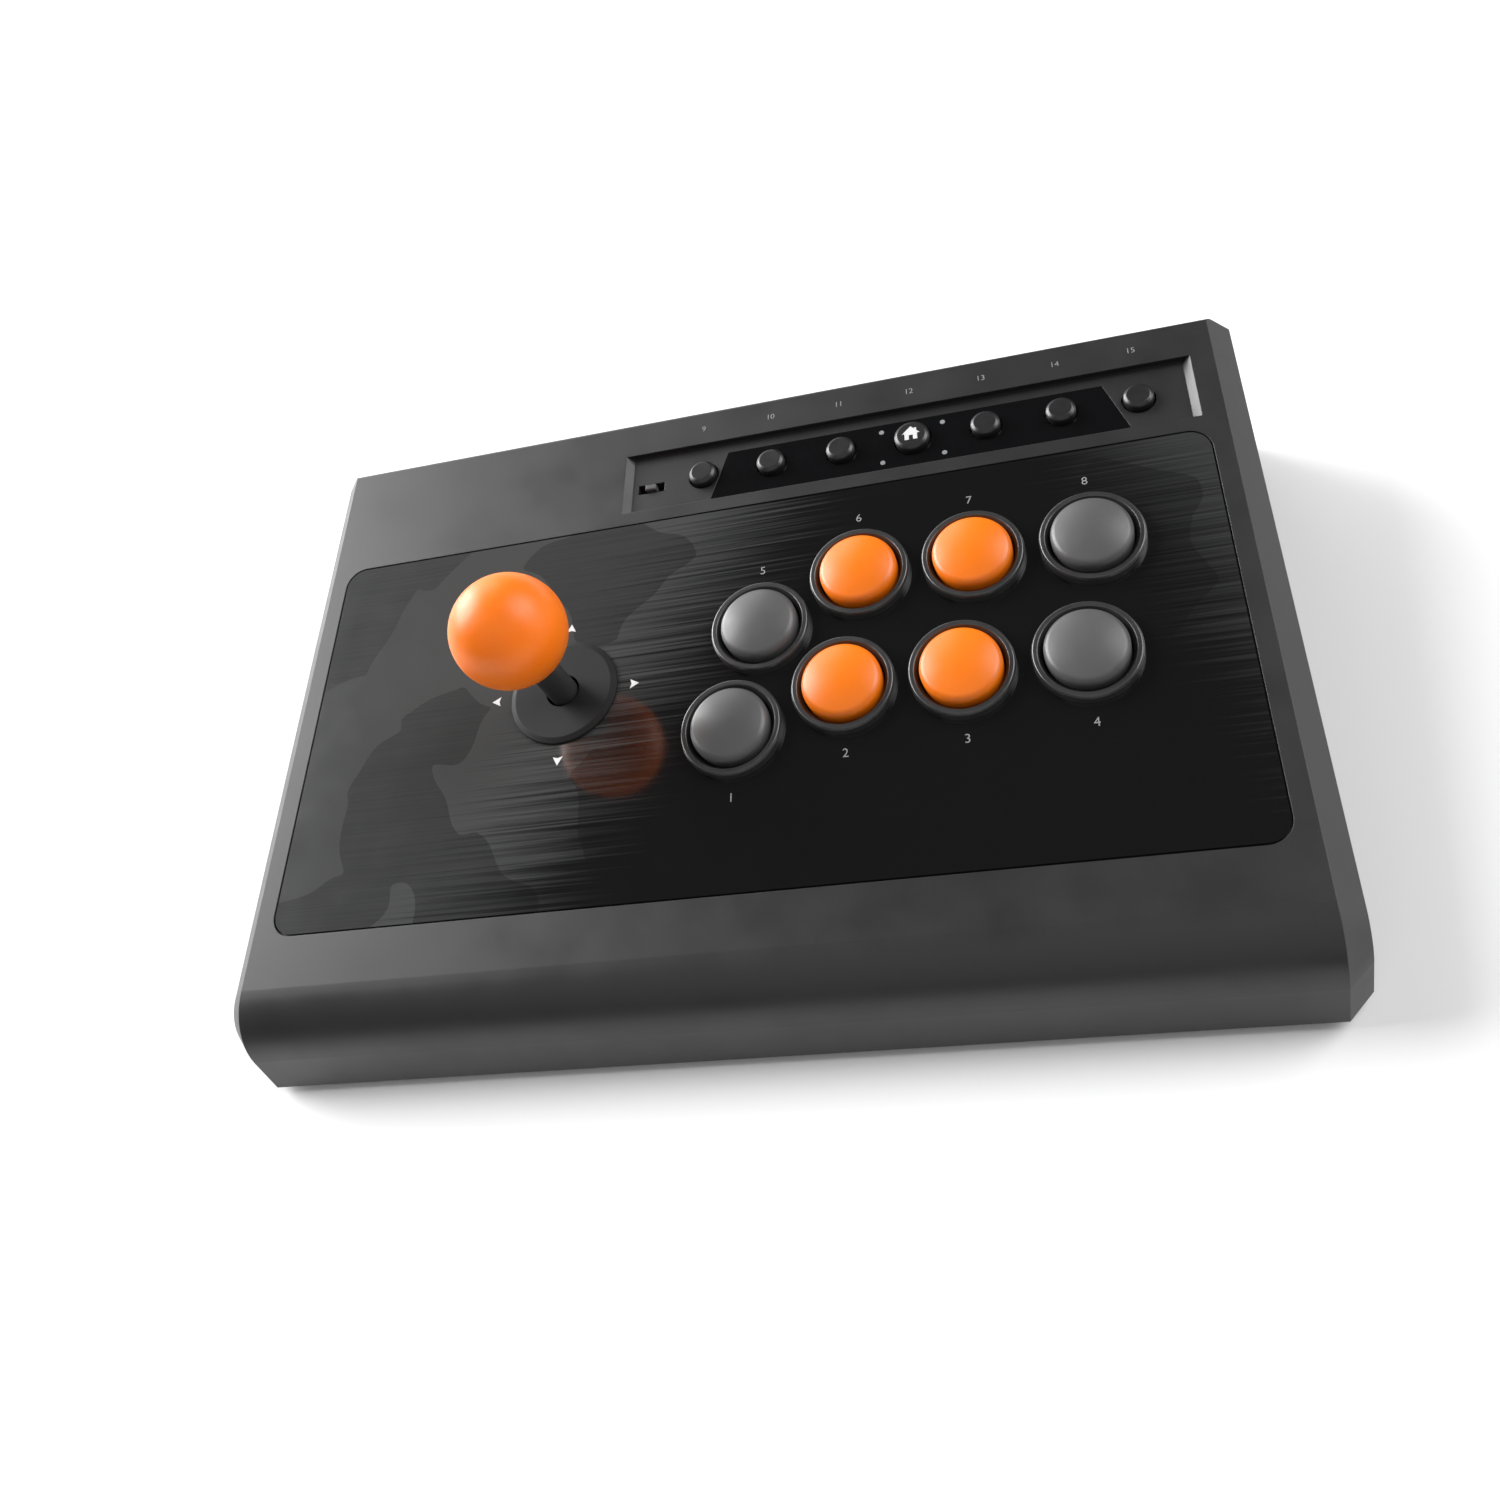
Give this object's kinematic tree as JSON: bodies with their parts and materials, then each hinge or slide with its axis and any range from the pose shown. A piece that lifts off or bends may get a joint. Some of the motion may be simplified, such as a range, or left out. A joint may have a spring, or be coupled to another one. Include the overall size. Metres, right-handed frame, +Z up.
{
  "type": "arcade joystick panel",
  "caption": "Wedge-shaped desktop arcade controller with a ball-top stick, round snap-in push buttons and a sunk strip of small option buttons.",
  "frame": {"origin": "on the resting surface, below the middle of the housing", "axes": "+X to the player's right along the width, +Y away from the player, +Z up"},
  "size_m": [0.29, 0.1886, 0.091],
  "materials": {
    "housing_plastic": "fine satin grain, charcoal",
    "cover_plastic": "matt black",
    "faceplate_black": "gloss over fine horizontal brushing",
    "inlay_black": "gloss",
    "light_pipe_clear": "frosted clear",
    "foot_rubber": "matt",
    "gland_rubber": "matt",
    "screw_steel": "zinc plated",
    "plate_steel": "galvanised",
    "board_green": "solder mask",
    "component_black": "moulded",
    "switch_red": "moulded",
    "mechanism_black": "moulded",
    "gate_white": "moulded acetal",
    "shaft_steel": "polished",
    "sleeve_black": "semi gloss",
    "washer_black": "satin",
    "ball_orange": "gloss",
    "rim_black": "gloss",
    "button_orange": "gloss",
    "button_grey": "gloss",
    "option_grey": "semi gloss",
    "knob_grey": "satin"
  },
  "bodies": {
    "base": {"top_shell": "housing_plastic", "bottom_cover": "cover_plastic", "rubber_feet": "foot_rubber", "cover_screws": "screw_steel", "ballast_plate": "plate_steel", "faceplate": "faceplate_black", "strip_inlay": "inlay_black", "light_pipes": "light_pipe_clear", "cable_gland": "gland_rubber", "main_board": "board_green", "main_board_screws": "screw_steel", "board_components": "component_black", "option_board": "board_green", "option_board_screws": "screw_steel", "tact_switches": "component_black", "slide_switch_body": "plate_steel", "stick_mounting_plate": "plate_steel", "stick_screws": "screw_steel", "stick_nuts": "screw_steel", "stick_housing": "mechanism_black", "stick_board": "board_green", "stick_microswitches": "switch_red", "restrictor_gate": "gate_white", "button_switches": "switch_red", "button_rim_1": "rim_black", "button_rim_2": "rim_black", "button_rim_3": "rim_black", "button_rim_4": "rim_black", "button_rim_5": "rim_black", "button_rim_6": "rim_black", "button_rim_7": "rim_black", "button_rim_8": "rim_black"},
    "pivot_ring": {"pivot_ring": "gate_white"},
    "lever": {"pivot_pin": "screw_steel", "pivot_hub": "mechanism_black", "lever_shaft": "shaft_steel", "shaft_sleeve": "sleeve_black", "ball_top": "ball_orange", "actuator": "mechanism_black", "return_spring": "screw_steel", "retaining_clip": "screw_steel"},
    "lower_washer": {"lower_dust_washer": "washer_black"},
    "upper_washer": {"dust_washer": "washer_black"},
    "button_1": {"button_plunger_1": "button_grey"},
    "button_2": {"button_plunger_2": "button_orange"},
    "button_3": {"button_plunger_3": "button_orange"},
    "button_4": {"button_plunger_4": "button_grey"},
    "button_5": {"button_plunger_5": "button_grey"},
    "button_6": {"button_plunger_6": "button_orange"},
    "button_7": {"button_plunger_7": "button_orange"},
    "button_8": {"button_plunger_8": "button_grey"},
    "option_1": {"option_button_1": "option_grey"},
    "option_2": {"option_button_2": "option_grey"},
    "option_3": {"option_button_3": "option_grey"},
    "option_4": {"option_button_4": "option_grey"},
    "option_5": {"option_button_5": "option_grey"},
    "option_6": {"option_button_6": "option_grey"},
    "option_7": {"option_button_7": "option_grey"},
    "slide_knob": {"slide_switch_knob": "knob_grey"}
  },
  "joints": [
    {"name": "stick_tilt_forward_back", "type": "hinge", "parent": "base", "child": "pivot_ring", "pos_m": [-0.0523, 0.00156, 0.0263], "axis": [1, 0, 0], "range_deg": [-10, 10], "stiffness_Nm_per_rad": 0.35},
    {"name": "stick_tilt_sideways", "type": "hinge", "parent": "pivot_ring", "child": "lever", "pos_m": [-0.0523, 0.00156, 0.0263], "axis": [0, 0.9903, 0.1392], "range_deg": [-10, 10], "stiffness_Nm_per_rad": 0.35},
    {"name": "washer_slide_sideways", "type": "slide", "parent": "base", "child": "lower_washer", "axis": [1, 0, 0], "range_m": [-0.0026, 0.0026]},
    {"name": "washer_slide_forward_back", "type": "slide", "parent": "lower_washer", "child": "upper_washer", "axis": [0, 0.9903, 0.1392], "range_m": [-0.0026, 0.0026]},
    {"name": "button_press_1", "type": "slide", "parent": "base", "child": "button_1", "axis": [0, 0.1392, -0.9903], "range_m": [0, 0.002], "stiffness_N_per_m": 300, "springref_m": -0.001},
    {"name": "button_press_2", "type": "slide", "parent": "base", "child": "button_2", "axis": [0, 0.1392, -0.9903], "range_m": [0, 0.002], "stiffness_N_per_m": 300, "springref_m": -0.001},
    {"name": "button_press_3", "type": "slide", "parent": "base", "child": "button_3", "axis": [0, 0.1392, -0.9903], "range_m": [0, 0.002], "stiffness_N_per_m": 300, "springref_m": -0.001},
    {"name": "button_press_4", "type": "slide", "parent": "base", "child": "button_4", "axis": [0, 0.1392, -0.9903], "range_m": [0, 0.002], "stiffness_N_per_m": 300, "springref_m": -0.001},
    {"name": "button_press_5", "type": "slide", "parent": "base", "child": "button_5", "axis": [0, 0.1392, -0.9903], "range_m": [0, 0.002], "stiffness_N_per_m": 300, "springref_m": -0.001},
    {"name": "button_press_6", "type": "slide", "parent": "base", "child": "button_6", "axis": [0, 0.1392, -0.9903], "range_m": [0, 0.002], "stiffness_N_per_m": 300, "springref_m": -0.001},
    {"name": "button_press_7", "type": "slide", "parent": "base", "child": "button_7", "axis": [0, 0.1392, -0.9903], "range_m": [0, 0.002], "stiffness_N_per_m": 300, "springref_m": -0.001},
    {"name": "button_press_8", "type": "slide", "parent": "base", "child": "button_8", "axis": [0, 0.1392, -0.9903], "range_m": [0, 0.002], "stiffness_N_per_m": 300, "springref_m": -0.001},
    {"name": "option_press_1", "type": "slide", "parent": "base", "child": "option_1", "axis": [0, 0.1392, -0.9903], "range_m": [0, 0.0008], "stiffness_N_per_m": 300, "springref_m": -0.0008},
    {"name": "option_press_2", "type": "slide", "parent": "base", "child": "option_2", "axis": [0, 0.1392, -0.9903], "range_m": [0, 0.0008], "stiffness_N_per_m": 300, "springref_m": -0.0008},
    {"name": "option_press_3", "type": "slide", "parent": "base", "child": "option_3", "axis": [0, 0.1392, -0.9903], "range_m": [0, 0.0008], "stiffness_N_per_m": 300, "springref_m": -0.0008},
    {"name": "option_press_4", "type": "slide", "parent": "base", "child": "option_4", "axis": [0, 0.1392, -0.9903], "range_m": [0, 0.0008], "stiffness_N_per_m": 300, "springref_m": -0.0008},
    {"name": "option_press_5", "type": "slide", "parent": "base", "child": "option_5", "axis": [0, 0.1392, -0.9903], "range_m": [0, 0.0008], "stiffness_N_per_m": 300, "springref_m": -0.0008},
    {"name": "option_press_6", "type": "slide", "parent": "base", "child": "option_6", "axis": [0, 0.1392, -0.9903], "range_m": [0, 0.0008], "stiffness_N_per_m": 300, "springref_m": -0.0008},
    {"name": "option_press_7", "type": "slide", "parent": "base", "child": "option_7", "axis": [0, 0.1392, -0.9903], "range_m": [0, 0.0008], "stiffness_N_per_m": 300, "springref_m": -0.0008},
    {"name": "mode_switch_slide", "type": "slide", "parent": "base", "child": "slide_knob", "axis": [1, 0, 0], "range_m": [-0.0018, 0.0018]}
  ],
  "couplings": [
    {"joint": "washer_slide_sideways", "follows": "stick_tilt_sideways", "m_per_rad": 0.01475},
    {"joint": "washer_slide_forward_back", "follows": "stick_tilt_forward_back", "m_per_rad": -0.01475}
  ]
}
